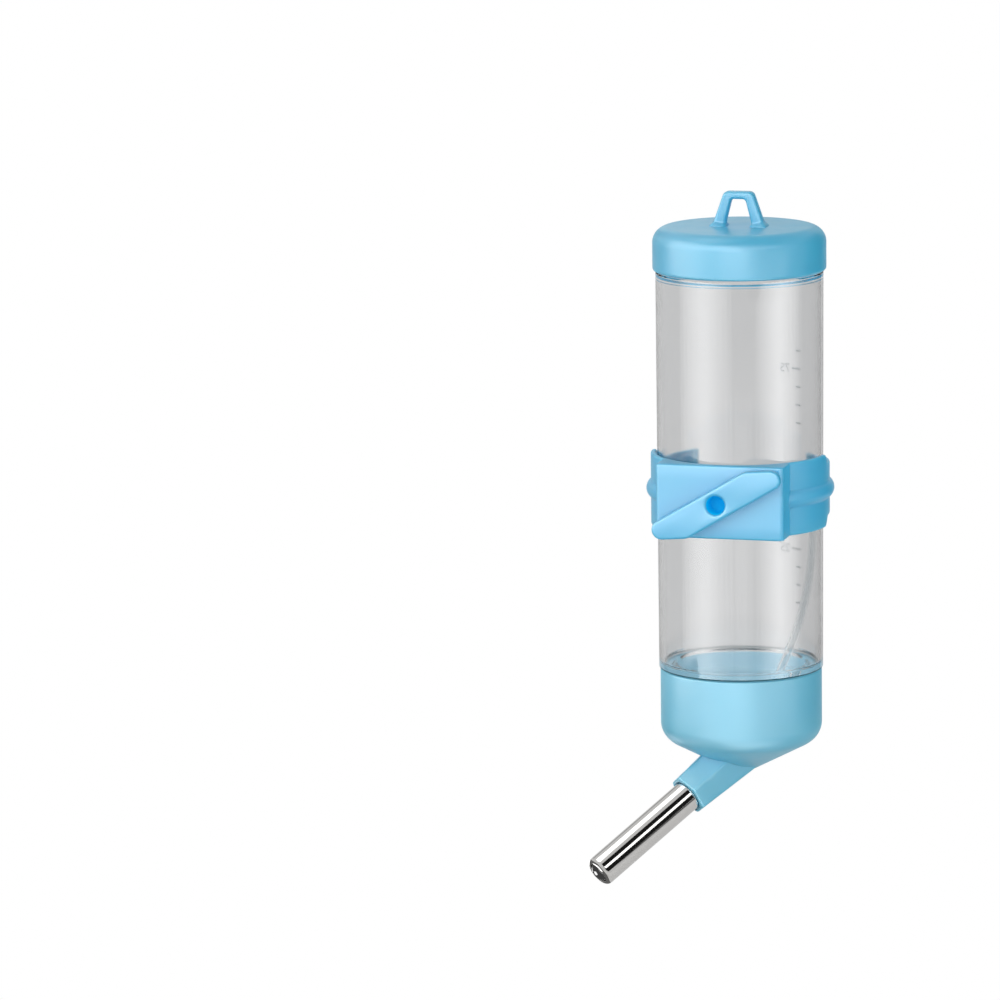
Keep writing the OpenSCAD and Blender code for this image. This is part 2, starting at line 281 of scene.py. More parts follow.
def thread(wall, z_start, a_from, a_to, height):
    """Shape function that raises a helical thread on the rows whose radius is wall."""
    def shape(r, z, a):
        if abs(r - wall) > 0.01:
            return r
        best = 0.0
        for turn in range(-2, 4):
            deg = math.degrees(a) + 360 * turn
            if not a_from <= deg <= a_to:
                continue
            off = abs(z - z_start - pitch * deg / 360)
            fade = min(1, (deg - a_from) / thread_fade_deg, (a_to - deg) / thread_fade_deg)
            best = max(best, fade * smooth((thread_foot - off) / thread_flank))
        return r + height * best
    return shape


def cut(obj, tools, sharp=38):
    """Boolean difference, applied."""
    for tool in tools:
        mod = obj.modifiers.new("cut", "BOOLEAN")
        mod.operation = "DIFFERENCE"
        mod.solver = "EXACT"
        mod.object = tool
    graph = bpy.context.evaluated_depsgraph_get()
    mesh = bpy.data.meshes.new_from_object(obj.evaluated_get(graph))
    obj.modifiers.clear()
    old = obj.data
    obj.data = mesh
    mesh.name = old.name
    bpy.data.meshes.remove(old)
    for tool in tools:
        bpy.data.objects.remove(tool)
    mesh.set_sharp_from_angle(angle=math.radians(sharp))


# ---------------------------------------------------------------- materials
def nodes_of(name):
    """New material with its node tree and its shader."""
    mat = bpy.data.materials.new(name)
    mat.use_nodes = True
    tree = mat.node_tree
    shader = tree.nodes["Principled BSDF"]
    return mat, tree, shader


def noise(tree, scale, detail=3.0, stretch=(1, 1, 1)):
    """Noise on the piece's own coordinates; scale is in waves to the metre."""
    coords = tree.nodes.new("ShaderNodeTexCoord")
    mapping = tree.nodes.new("ShaderNodeMapping")
    mapping.inputs["Scale"].default_value = stretch
    tex = tree.nodes.new("ShaderNodeTexNoise")
    tex.inputs["Scale"].default_value = scale
    tex.inputs["Detail"].default_value = detail
    tree.links.new(coords.outputs["Object"], mapping.inputs["Vector"])
    tree.links.new(mapping.outputs["Vector"], tex.inputs["Vector"])
    return tex.outputs["Fac"]


def spread(tree, value, low, high):
    """Maps the middle of a noise's range to low and high."""
    node = tree.nodes.new("ShaderNodeMapRange")
    node.inputs["From Min"].default_value = 0.3
    node.inputs["From Max"].default_value = 0.7
    node.inputs["To Min"].default_value = low
    node.inputs["To Max"].default_value = high
    tree.links.new(value, node.inputs["Value"])
    return node.outputs["Result"]


def two_tone(tree, value, a, b):
    """Colour that goes from a to b with value."""
    node = tree.nodes.new("ShaderNodeMix")
    node.data_type = "RGBA"
    node.inputs["A"].default_value = (*a, 1)
    node.inputs["B"].default_value = (*b, 1)
    tree.links.new(value, node.inputs["Factor"])
    return node.outputs["Result"]


def add_bump(tree, shader, value, strength, distance):
    """Fine relief on the shader's normal; distance is in metres."""
    node = tree.nodes.new("ShaderNodeBump")
    node.inputs["Strength"].default_value = strength
    node.inputs["Distance"].default_value = distance
    tree.links.new(value, node.inputs["Height"])
    tree.links.new(node.outputs["Normal"], shader.inputs["Normal"])


def mix_shaders(tree, factor, a, b):
    """Shader a where factor is 0, and shader b where it is 1."""
    node = tree.nodes.new("ShaderNodeMixShader")
    tree.links.new(factor, node.inputs["Fac"])
    tree.links.new(a, node.inputs[1])
    tree.links.new(b, node.inputs[2])
    return node.outputs["Shader"]


def white_node(tree, kind, strength):
    """Emission or background node that is white, at one strength."""
    node = tree.nodes.new(kind)
    node.inputs["Color"].default_value = (1, 1, 1, 1)
    node.inputs["Strength"].default_value = strength
    return node.outputs[0]


def moulded(name, dark, light, rough=(0.32, 0.39), specular=1.0, glow=0.35):
    """Glossy moulded plastic with faint flow marks and a very fine grain."""
    mat, tree, shader = nodes_of(name)
    flow = noise(tree, 45, 4)
    grain = noise(tree, 2600, 2)
    tree.links.new(two_tone(tree, flow, dark, light), shader.inputs["Base Color"])
    tree.links.new(spread(tree, noise(tree, 160, 3), *rough), shader.inputs["Roughness"])
    shader.inputs["Specular IOR Level"].default_value = specular
    shader.inputs["Subsurface Weight"].default_value = glow
    shader.inputs["Subsurface Radius"].default_value = (0.3, 0.8, 1.0)
    shader.inputs["Subsurface Scale"].default_value = 0.003
    add_bump(tree, shader, grain, 0.12, 0.00003)
    return mat


def painted_glow(mat, colour, strength):
    """Painted light: a faint emission that brightens the faces as if daylight came through a thin wall."""
    shader = mat.node_tree.nodes["Principled BSDF"]
    shader.inputs["Emission Color"].default_value = (*colour, 1)
    shader.inputs["Emission Strength"].default_value = strength


def paint(obj, material, where):
    """Gives a second material to the faces whose centre, in millimetres, passes where."""
    obj.data.materials.append(material)
    index = len(obj.data.materials) - 1
    for face in obj.data.polygons:
        if where(face.center / MM):
            face.material_index = index


def clear(name, dark, light, rough=(0.05, 0.11), ior=1.47, wave=0.25):
    """Clear moulded plastic; lamps shine through it."""
    mat, tree, shader = nodes_of(name)
    tree.links.new(two_tone(tree, noise(tree, 60, 3), dark, light), shader.inputs["Base Color"])
    tree.links.new(spread(tree, noise(tree, 220, 4), *rough), shader.inputs["Roughness"])
    shader.inputs["Transmission Weight"].default_value = 1.0
    shader.inputs["IOR"].default_value = ior
    add_bump(tree, shader, noise(tree, 120, 2, (1, 1, 0.35)), wave, 0.0001)
    rays = tree.nodes.new("ShaderNodeLightPath")
    through = tree.nodes.new("ShaderNodeBsdfTransparent")
    through.inputs["Color"].default_value = (0.93, 0.94, 0.95, 1)
    shown = mix_shaders(tree, rays.outputs["Is Shadow Ray"], shader.outputs["BSDF"], through.outputs["BSDF"])
    tree.links.new(shown, tree.nodes["Material Output"].inputs["Surface"])
    return mat


def polished(name, dark, light, rough=(0.05, 0.11), stretch=(1, 1, 1), strength=0.05):
    """Polished steel with faint rubbing marks."""
    mat, tree, shader = nodes_of(name)
    tree.links.new(two_tone(tree, noise(tree, 300, 4), dark, light), shader.inputs["Base Color"])
    tree.links.new(spread(tree, noise(tree, 900, 4, stretch), *rough), shader.inputs["Roughness"])
    shader.inputs["Metallic"].default_value = 1.0
    add_bump(tree, shader, noise(tree, 1500, 3, stretch), strength, 0.00002)
    return mat


cap_blue = moulded("cap_blue", (0.044, 0.45, 0.68), (0.056, 0.475, 0.72))
base_blue = moulded("base_blue", (0.094, 0.46, 0.635), (0.106, 0.485, 0.665), rough=(0.36, 0.44))
clip_blue = moulded("clip_blue", (0.040, 0.455, 0.735), (0.050, 0.48, 0.775), rough=(0.32, 0.40))
# painted light: the toggle's hole gets a deeper, brighter blue and a faint glow for the light that bounces in
# its recess
hole_painted_glow = moulded("hole_painted_glow", (0.0, 0.58, 0.90), (0.004, 0.61, 0.93),
                    rough=(0.6, 0.7), specular=0.05)
painted_glow(hole_painted_glow, (0.0, 0.36, 0.85), 0.10)
# painted light: the caps' inner faces are lighter copies of the blue that glow faintly, so they read lit
# through the barrel
cap_inside_painted_light = moulded("cap_inside_painted_light", (0.09, 0.50, 0.72), (0.10, 0.52, 0.76))
painted_glow(cap_inside_painted_light, (0.10, 0.42, 0.60), 0.45)
base_inside = moulded("base_inside", (0.24, 0.47, 0.57), (0.26, 0.50, 0.61))
painted_glow(base_inside, (0.25, 0.43, 0.50), 0.50)
barrel_clear = clear("barrel_clear", (0.93, 0.935, 0.94), (0.95, 0.953, 0.957))
shoulder_clear = clear("shoulder_clear", (0.95, 0.955, 0.96), (0.97, 0.973, 0.977), ior=1.08)
seam_shade = moulded("seam_shade", (0.02, 0.10, 0.14), (0.03, 0.13, 0.18),
                     rough=(0.5, 0.6), specular=0.2, glow=0.0)
vent_clear = clear("vent_clear", (0.84, 0.87, 0.88), (0.89, 0.91, 0.92),
                   rough=(0.02, 0.05), ior=1.5, wave=0.05)
seal_white = moulded("seal_white", (0.78, 0.78, 0.76), (0.84, 0.84, 0.82),
                     rough=(0.5, 0.65), specular=0.4, glow=0.1)
seal_dark = moulded("seal_dark", (0.02, 0.02, 0.022), (0.035, 0.035, 0.037),
                    rough=(0.5, 0.65), specular=0.4)
liner_white = moulded("liner_white", (0.72, 0.74, 0.74), (0.80, 0.82, 0.82),
                      rough=(0.4, 0.5), specular=0.4)
tube_steel = polished("tube_steel", (0.74, 0.73, 0.71), (0.80, 0.79, 0.775),
                      rough=(0.07, 0.09), strength=0.006)
# painted reflection: the balls' steel is darkened to stand in for the dark surroundings they reflect
ball_painted_dark = polished("ball_painted_dark", (0.30, 0.30, 0.30), (0.36, 0.36, 0.36),
                      rough=(0.08, 0.12), strength=0.02)
scale_grey = moulded("scale_grey", (0.42, 0.45, 0.48), (0.50, 0.53, 0.56), rough=(0.4, 0.5), glow=0.0)


def piece(obj, body, material, replaces=()):
    """Gives a piece its material, its body and the nodes it stands for."""
    obj.data.materials.clear()
    obj.data.materials.append(material)
    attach(obj, body)
    if replaces:
        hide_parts(*replaces)
    return obj


# ---------------------------------------------------------------- camera
azimuth = math.radians(13)
camera_distance = 1.390
camera_height = 0.17584
aim_left = 0.05778
aim_down = 0.07259
side = Vector((math.cos(azimuth), math.sin(azimuth), 0))
eye = Vector((camera_distance * math.sin(azimuth), -camera_distance * math.cos(azimuth), camera_height))
target = side * -aim_left + Vector((0, 0, -aim_down))
ahead = (target - eye).normalized()
right = ahead.cross(Vector((0, 0, 1))).normalized()
up = right.cross(ahead)
roll = math.radians(-0.685)
right, up = right * math.cos(roll) + up * math.sin(roll), up * math.cos(roll) - right * math.sin(roll)
camera_data = bpy.data.cameras.new("camera")
camera_data.lens = 211.5
camera_data.sensor_width = 36
camera_data.clip_end = 60
camera = bpy.data.objects.new("camera", camera_data)
camera_turn = Matrix((right, up, -ahead)).transposed().to_4x4()
camera.matrix_world = Matrix.Translation(eye) @ camera_turn
bpy.context.scene.collection.objects.link(camera)
bpy.context.scene.camera = camera
bpy.context.scene.view_settings.view_transform = "Standard"

# ---------------------------------------------------------------- barrel
body_corners = [
    (neck_rt, neck_top_z, 0.35),
    (neck_rt, shoulder_top, 0.25),
    (barrel_rt, shoulder_top, 0.35),
    (barrel_rb, shoulder_base, 0.4),
    (neck_rb, shoulder_base, 0.25),
    (neck_rb, neck_base_z, 0.35),
    (neck_rb - neck_wall, neck_base_z, 0.35),
    (neck_rb - neck_wall, shoulder_base + 1.1, 0.6),
    (barrel_rb - barrel_wall, shoulder_base + 1.3, 0.9),
    (barrel_rt - barrel_wall, shoulder_top - 1.3, 0.9),
    (neck_rt - neck_wall, shoulder_top - 1.1, 0.6),
    (neck_rt - neck_wall, neck_top_z, 0.35),
]
thread_turn = 450
top_thread = thread(neck_rt, top_thread_z, 0, thread_turn, thread_h)
base_thread = thread(neck_rb, base_thread_z, 0, thread_turn, thread_h)
body_profile = subdivide(fillet(body_corners, step=12), thread_row, upright_at(neck_rt, neck_rb))
body_profile = subdivide(body_profile, 6)
barrel = lathe("barrel", body_profile,
               shape=lambda r, z, a: base_thread(top_thread(r, z, a), z, a))
piece(barrel, "bottle", barrel_clear, ["bottle_body"])

# the shoulders bend light less, and the barrel's lowest edge is painted dark: painted shade of the gap in the
# joint
shoulder_depth = 1.7
seam_line = 0.38
seam_width = 0.6
paint(barrel, shoulder_clear,
      lambda c: not shoulder_base + shoulder_depth < c.z < shoulder_top - shoulder_depth)
paint(barrel, seam_shade,
      lambda c: c.z < shoulder_base + seam_line and c.xy.length > barrel_rb - seam_width)

# ---------------------------------------------------------------- top cap and its loop
cap_corners = [
    (0, cap_top, 0),
    (cap_r, cap_top, 3.8),
    (cap_r, cap_rim, 0.9),
    (cap_ri, cap_rim, 0.3),
    (cap_ri, cap_top - cap_roof, 1.4),
    (0, cap_top - cap_roof, 0),
]
cap_profile = fillet(cap_corners, closed=False, step=6)
cap_profile = subdivide(cap_profile, thread_row, upright_at(cap_ri), closed=False)
cap_shell = lathe("cap_shell", cap_profile, ring=False,
                  shape=thread(cap_ri, top_thread_z - pitch / 2, 135, 480, -inner_thread_h))
piece(cap_shell, "top_cap", cap_blue, ["top_cap"])
# painted light on the cap's inner faces
paint(cap_shell, cap_inside_painted_light, lambda c: c.xy.length < cap_ri + HAIR and c.z < cap_top - 1.5)


def rounded_section(centre, u, v, half_u, half_v, r, corner_steps=5):
    """Ring of points: a rounded rectangle spanned by u and v."""
    r = min(r, half_u * 0.98, half_v * 0.98)
    ring = []
    for q, (su, sv) in enumerate(((1, 1), (-1, 1), (-1, -1), (1, -1))):
        for k in range(corner_steps + 1):
            a = math.pi / 2 * (q + k / corner_steps)
            ring.append(tuple(centre + u * (su * (half_u - r) + r * math.cos(a))
                              + v * (sv * (half_v - r) + r * math.sin(a))))
    return ring


# the loop's outlines lie in X and Z, with Z from the cap's top
loop_rise = loop_top_z - cap_top
loop_bar = 1.8
loop_half_depth = 1.5
loop_edge = 0.65
foot_flare = 0.9
foot_height = 1.3
loop_stations = 90
outer = fillet([(-6.75, -0.6, 0), (-6.0, 1.1, 0.4), (-3.45, loop_rise, 1.4), (3.45, loop_rise, 1.4),
                (6.0, 1.1, 0.4), (6.75, -0.6, 0)], closed=False, step=6)
inner = fillet([(-3.35, -0.6, 0), (-3.0, 1.6, 0.6), (-1.75, loop_rise - loop_bar, 0.9),
                (1.75, loop_rise - loop_bar, 0.9), (3.0, 1.6, 0.6), (3.35, -0.6, 0)],
               closed=False, step=6)
loop_rings = []
for (ox, oz), (ix, iz) in zip(resample(outer, loop_stations), resample(inner, loop_stations)):
    o, i = Vector((ox, 0, oz)), Vector((ix, 0, iz))
    height = max(0.0, (oz + iz) / 2)
    flare = foot_flare * (1 - smooth(height / foot_height)) ** 2
    loop_rings.append(rounded_section((o + i) / 2, (o - i).normalized(), Vector((0, 1, 0)),
                                      (o - i).length / 2 + flare * 0.5, loop_half_depth + flare,
                                      loop_edge))
cap_loop = skin("cap_loop", loop_rings, place=Matrix.Translation((0, 0, cap_top)))
piece(cap_loop, "top_cap", cap_blue, ["top_cap"])

# ---------------------------------------------------------------- base cap and its boss
base_corners = [
    (0, cone_tip, 0),
    (base_r, cone_tip + base_r * math.tan(slope), base_round),
    (base_r, seam, 0.5),
    (base_ri, seam, 0.25),
    (base_ri, base_ledge, 0.2),
    (cup_r, base_ledge, 0.25),
    (cup_r, cup_tip + cup_r * math.tan(slope), 2.0),
    (0, cup_tip, 0),
]
base_profile = fillet(base_corners, closed=False, step=6)
base_profile = subdivide(base_profile, thread_row, upright_at(base_ri), closed=False)
base_shell = lathe("base_shell", base_profile, ring=False,
                   shape=thread(base_ri, base_thread_z + pitch / 2, -120, 225, -inner_thread_h))
piece(base_shell, "base", base_blue, ["base_cap"])


def in_base(c):
    """Whether the centre of a face is inside the base's cup or thread."""
    cup_floor = cup_tip + c.xy.length * math.tan(slope)
    return c.xy.length < base_ri + HAIR and c.z > cup_floor - 0.4


# painted light on the base's cup and thread: a paler blue that glows faintly
paint(base_shell, base_inside, in_base)

# the spout's own axes: Z along the spout, X down across it
spout_x = Vector((spout_dir.x, spout_dir.y, 0)).normalized() * spout_dir.z
spout_x.z = -spout_dir.xy.length
spout_y = spout_dir.cross(spout_x)
spout_turn = Matrix((spout_x, spout_y, spout_dir)).transposed().to_4x4()
spout_place = Matrix.Translation(spout_origin) @ spout_turn


def hexagon(r, corner, sides=6, between=5):
    """Rounded hexagon of corner radius r, with a corner on X."""
    corners = [(r * math.cos(math.tau * k / sides), r * math.sin(math.tau * k / sides), corner)
               for k in range(sides)]
    return subdivide(fillet(corners, step=12), r / between)


boss_flare = 1.18
boss_corner = 0.85
boss_edge = 0.55


def boss_ring(s, shrink=0.0):
    """The boss's hexagon at s along the spout, with its sides moved in by shrink."""
    r = boss_r + boss_flare * (1 - s / boss_reach) - shrink / math.cos(math.pi / 6)
    return [(x, y, s) for x, y in hexagon(r, boss_corner)]


boss_rings = [boss_ring(s) for s in (0.0, 3, 6, 9, 12, 15, boss_reach - boss_edge)]
for k in range(1, 6):
    a = math.pi / 2 * k / 5
    boss_rings.append(boss_ring(boss_reach - boss_edge + boss_edge * math.sin(a),
                                boss_edge * (1 - math.cos(a))))
# the hole for the tube: a softened mouth and a bore
mouth_angles = [math.atan2(y, x) for x, y, _ in boss_rings[0]]
for r, s in ((4.15, boss_reach), (3.95, boss_reach - 0.05), (3.82, boss_reach - 0.25), (3.82, 7)):
    boss_rings.append([(r * math.cos(a), r * math.sin(a), s) for a in mouth_angles])
boss = skin("spout_boss", boss_rings, place=spout_place)
cavity_outline = [(0, cup_tip), (cup_r, cup_tip + cup_r * math.tan(slope)), (cup_r, seam), (0, seam)]
cavity = lathe("cavity", cavity_outline, ring=False, segments=96)
cut(boss, [cavity])
piece(boss, "base", base_blue, ["base_cap"])

# ---------------------------------------------------------------- steel tube and balls
lip_r = ball_r - 0.45
tube_corners = [
    (tube_r, tube_start, 0.2),
    (tube_r, tube_reach, 1.1),
    (lip_r, tube_reach, 0.24),
    (lip_r, tube_reach - tube_wall, 0.24),
    (tube_r - tube_wall, tube_reach - tube_wall, 0.6),
    (tube_r - tube_wall, tube_start, 0.2),
]
tube = lathe("steel_tube", subdivide(fillet(tube_corners, step=6), 4), place=spout_place)
piece(tube, "base", tube_steel, ["spout_tube"])

ball_steps = 64
ball_arc = [(0, ball_r)]
ball_arc += [(ball_r * math.sin(math.pi * k / ball_steps), ball_r * math.cos(math.pi * k / ball_steps))
             for k in range(1, ball_steps)]
ball_arc.append((0, -ball_r))
for name, body, centre in (("tip_bearing", "tip_ball", tip_centre),
                           ("back_bearing", "back_ball", back_centre)):
    ball = lathe(name, ball_arc, place=Matrix.Translation(centre), ring=False, segments=128)
    piece(ball, body, ball_painted_dark, [body])

# ---------------------------------------------------------------- vent tube
# its line, as (r, z, lean), rises from the cup, leans out, bends and then follows the wall
vent_turn = math.radians(13)
vent_lean = math.radians(22)
vent_bend = 75.0
vent_r = 1.0
vent_wall = 0.45
vent_gap = 0.35
vent_start = 0.06
bend_steps = 40
vent_wall_r = barrel_rb - barrel_wall - vent_gap - vent_r
vent_foot_r, vent_foot_z = 2.0, cup_tip + 5.2
bend_run = vent_bend * (1 - math.cos(vent_lean))
lean_rise = (vent_wall_r - bend_run - vent_foot_r) / math.tan(vent_lean)
bend_z = vent_foot_z + lean_rise + vent_bend * math.sin(vent_lean)
vent_path = [(vent_foot_r + vent_start * math.sin(vent_lean),
              vent_foot_z + vent_start * math.cos(vent_lean), vent_lean)]
vent_path += [(vent_wall_r - vent_bend * (1 - math.cos(a)), bend_z - vent_bend * math.sin(a), a)
              for a in (vent_lean * (1 - k / bend_steps) for k in range(bend_steps + 1))]
vent_path.append((vent_wall_r, vent_hi.z, 0.0))


def vent_ring(r, z, lean, radius, sides=40):
    """Circle of points across the vent tube's line at (r, z)."""
    ring = []
    for k in range(sides):
        out = radius * math.cos(math.tau * k / sides)
        along = radius * math.sin(math.tau * k / sides)
        ring.append((r + out * math.cos(lean), along, z - out * math.sin(lean)))
    return ring


vent_rings = [vent_ring(*p, vent_r) for p in vent_path]
vent_rings += [vent_ring(*p, vent_r - vent_wall) for p in reversed(vent_path)]
vent = skin("vent_pipe", vent_rings, close=True, place=Matrix.Rotation(vent_turn, 4, "Z"), sharp=60)
piece(vent, "base", vent_clear, ["vent_tube"])

# ---------------------------------------------------------------- clip ring
block_corner = 1.0
clip_edge = 0.5
edge_steps = 4
# the arms are lower than the block, from here back
arm_start_y = -1.9
arm_blend = 2.4
# the round rib along the arms: a circle sunk into the ring, shown from rib_from degrees on
rib_half = 2.6
rib_circle = 2.4
rib_sunk = 1.3
rib_rows = 24
rib_from = 40
rib_fade = 3
# beads at the arms' ends
bead = 1.1
bead_steps = 12
mid_r = (clip_r + clip_ri) / 2
half_t = (clip_r - clip_ri) / 2
join = math.sqrt(bead ** 2 - half_t ** 2)


def block_outer(a):
    """Radius of the ring's outside in direction a from the front, block included."""
    r = clip_r
    c, s = abs(math.cos(a)), abs(math.sin(a))
    if s * clip_r < block_half and -math.pi / 2 < a < math.pi / 2:
        flat = block_face / max(c, 1e-6)
        flank = block_half / max(s, 1e-6)
        r_box = min(flat, flank)
        # rounded vertical corner of the block
        cx, cy = block_half - block_corner, block_face - block_corner
        px, py = r_box * s, r_box * c
        if px > cx and py > cy:
            b = cx * s + cy * c
            r_box = b + math.sqrt(max(0.0, b * b - cx * cx - cy * cy + block_corner * block_corner))
        r = max(r, r_box)
    return r


def half_height(a):
    """Half the clip's height in direction a from the front."""
    y = -clip_r * math.cos(a)
    return clip_half + (arm_half - clip_half) * smooth((y - arm_start_y) / arm_blend)


def clip_section(a, half_thick=None):
    """Closed ring of points across the clip in direction a; half_thick is given in the beads."""
    h = half_height(a)
    r_out, r_in = block_outer(a), clip_ri
    rib_share = smooth((abs(math.degrees(a)) - rib_from) / rib_fade)
    if half_thick is not None:
        r_out, r_in = mid_r + half_thick, mid_r - half_thick
    rho = min(clip_edge, (r_out - r_in) / 2 * 0.95)
    corner = quarter_arc(rho, edge_steps)
    # the lower inner corner runs from the wall down, a small fold against the barrel
    points = [(r_in + p, -h + q) for p, q in reversed(corner)]
    points += [(r_in, -h + rho + (2 * h - 2 * rho) * k / 4) for k in range(1, 4)]
    points += [(r_in + q, h - p) for p, q in corner]
    points += [(r_out - p, h - q) for p, q in corner]
    half_way = h - rho - (h - rho - rib_half) * 0.5
    points.append((r_out, half_way))
    for k in range(rib_rows + 1):
        z = rib_half - 2 * rib_half * k / rib_rows
        rib_r = math.sqrt(max(0.0, rib_circle ** 2 - z * z)) + clip_r - rib_sunk
        lift = max(0.0, rib_r - clip_r) * rib_share
        points.append((max(r_out, clip_r + lift) if half_thick is None else r_out, z))
    points.append((r_out, -half_way))
    points += [(r_out - q, -h + p) for p, q in corner]
    return [(r * math.sin(a), -r * math.cos(a), z) for r, z in points]


def bead_sections(sign):
    """Sections of the round bead at one arm's end, from the arm outwards."""
    sweep = math.pi - math.acos(join / bead)
    rows = []
    for k in range(bead_steps + 1):
        b = sweep - sweep * k / bead_steps
        x, t = -bead * math.cos(b), bead * math.sin(b)
        rows.append(clip_section(sign * (arm_end + x / mid_r), max(t, 0.04)))
    return rows


# sections are close together where the block's flanks meet the ring and at its corners
corner_a = math.atan2(block_half, block_face)
meet_a = math.asin(block_half / clip_r)
marks = [-arm_end, -math.radians(52), -meet_a - 0.004, -meet_a + 0.004, -corner_a - 0.05, -corner_a + 0.05, 0]
marks = marks + [-m for m in reversed(marks[:-1])]
clip_angles = []
for lo, hi in zip(marks, marks[1:]):
    fine = hi - lo < 0.2
    n = 14 if fine else max(2, math.ceil(math.degrees(hi - lo) / 1.5))
    clip_angles += [lo + (hi - lo) * k / n for k in range(n)]
clip_angles.append(marks[-1])
arm_sections = [clip_section(a) for a in clip_angles if (arm_end - abs(a)) * mid_r >= join]
clip_rings = [*reversed(bead_sections(-1)), *arm_sections, *bead_sections(1)]
clip = skin("clip_band", clip_rings, place=Matrix.Translation((0, 0, clip_z)), sharp=42)


def bar(name, r, y_from, y_to=-15):
    """Round tool along Y at the pivot, from the front inwards."""
    place = Matrix.Translation((0, 0, clip_z)) @ Matrix.Rotation(math.pi / 2, 4, "X")
    outline = [(0, -y_from), (r, -y_from), (r, -y_to), (0, -y_to)]
    return lathe(name, outline, place=place, ring=False, segments=96)


cut(clip, [bar("hole", post_r + 0.05, -block_face - 1), bar("recess", post_r + 1.1, -block_face + 1.3)])
piece(clip, "clip", clip_blue, ["clip_ring"])


# ---------------------------------------------------------------- toggle
def toggle_ring(points, inset, y):
    """The outline moved in along its normals, at y in front of the bottle's axis."""
    n = len(points)
    out = []
    for i in range(n):
        a, b = Vector(points[i - 1]), Vector(points[(i + 1) % n])
        t = (b - a).normalized()
        normal = Vector((-t.y, t.x))
        p = Vector(points[i]) + normal * inset
        out.append((p.x, -y, p.y))
    return out


# a bar with round tips and one bend in each long edge; the CAD's outline has two in each
toggle_half_len = 17.0
toggle_half_w = 4.4
toggle_tilt = math.radians(25.5)
straight = toggle_half_len - 7
tip_r = 2 * toggle_half_w * 0.27
tip_x = toggle_half_len - tip_r
# where the taper touches the tip, as shares of the tip's radius
touch_up = 0.93
touch_along = 0.37
rise = math.atan((toggle_half_w - tip_r * touch_up) / (tip_x + tip_r * touch_along - straight))
tip_steps = 24
right_end = [(tip_x + tip_r * math.cos(a), tip_r * math.sin(a))
             for a in (-(math.pi / 2 - rise) + (math.pi - 2 * rise) * k / tip_steps
                       for k in range(tip_steps + 1))]
bend = fillet([(-straight, toggle_half_w, 0), (straight, toggle_half_w, 5), right_end[-1] + (0,)],
              closed=False, step=4)
half_outline = right_end + [p for p in reversed(bend[1:-1])]
outline = subdivide(half_outline + [(-x, -y) for x, y in half_outline], 0.6)
outline_angles = [math.atan2(y, x) for x, y in outline]


def round_ring(r, y):
    """Circle round the pivot, with a point for each point of the outline."""
    return [(r * math.cos(a), -y, r * math.sin(a)) for a in outline_angles]


hole_r = 2.2
hole_floor = block_face - 0.3
post_end = block_face - 2.05
soft_edge = quarter_arc(0.6, 5)
# (radius, y) down the hollow pivot, from its floor out to the bar's front
hole_outline = [
    (hole_r - 0.3, hole_floor),
    (hole_r - 0.05, block_face - 0.1),
    (hole_r, block_face + 0.4),
    (hole_r, toggle_front - 0.75),
    (hole_r + 0.06, toggle_front - 0.45),
    (hole_r + 0.22, toggle_front - 0.2),
    (hole_r + 0.45, toggle_front - 0.05),
    (hole_r + 0.75, toggle_front),
]
# (radius, y) along the post, from the bar's back in to its snap head
post_outline = [
    (post_r + 0.35, toggle_back),
    (post_r + 0.1, toggle_back - 0.1),
    (post_r, toggle_back - 0.35),
    (post_r, block_face - 1.45),
    (post_r + 0.65, block_face - 1.45),
    (post_r + 0.65, block_face - 1.9),
    (post_r + 0.4, post_end),
]
toggle_rings = [[(0, -hole_floor, 0)]]
toggle_rings += [round_ring(r, y) for r, y in hole_outline]
toggle_rings += [toggle_ring(outline, p, toggle_front - q) for p, q in soft_edge]
toggle_rings += [toggle_ring(outline, q, toggle_back + p) for p, q in soft_edge]
toggle_rings += [round_ring(r, y) for r, y in post_outline]
toggle_rings.append([(0, -post_end, 0)])
toggle_place = Matrix.Translation((0, 0, clip_z)) @ Matrix.Rotation(-toggle_tilt, 4, "Y")
toggle = skin("turn_toggle", toggle_rings, place=toggle_place, sharp=42)
piece(toggle, "toggle", clip_blue, ["toggle"])
# painted light in the hole's recess: its faces get the glowing deeper blue
paint(toggle, hole_painted_glow,
      lambda c: math.hypot(c.x, c.z - clip_z) < hole_r + HAIR and c.y < -block_face + 0.35)


# ---------------------------------------------------------------- scale on the barrel
def barrel_radius(z):
    """Outer radius of the tapered barrel at a level."""
    return barrel_rb + (barrel_rt - barrel_rb) * (z - shoulder_base) / (shoulder_top - shoulder_base)


def wrap(obj, centre_deg, z, thickness):
    """Bends a flat mesh, drawn in X and Y millimetres, round the barrel and gives it thickness."""
    bm = bmesh.new()
    bm.from_mesh(obj.data)
    bmesh.ops.triangulate(bm, faces=bm.faces)
    geom = bmesh.ops.extrude_face_region(bm, geom=bm.faces[:])
    top = {v for v in geom["geom"] if isinstance(v, bmesh.types.BMVert)}
    for v in bm.verts:
        zz = z + v.co.y
        r = barrel_radius(zz) + (thickness if v in top else -0.02)
        a = math.radians(centre_deg) + v.co.x / barrel_radius(zz)
        v.co = (r * math.cos(a), r * math.sin(a), zz)
    mesh = obj.data
    bmesh.ops.recalc_face_normals(bm, faces=bm.faces)
    bm.to_mesh(mesh)
    bm.free()
    mesh.transform(Matrix.Scale(MM, 4))


def flat_mesh(polygons):
    """Mesh of flat polygons, each a list of (x, y)."""
    bm = bmesh.new()
    for poly in polygons:
        bm.faces.new([bm.verts.new((x, y, 0)) for x, y in poly])
    mesh = bpy.data.meshes.new("flat")
    bm.to_mesh(mesh)
    bm.free()
    return mesh


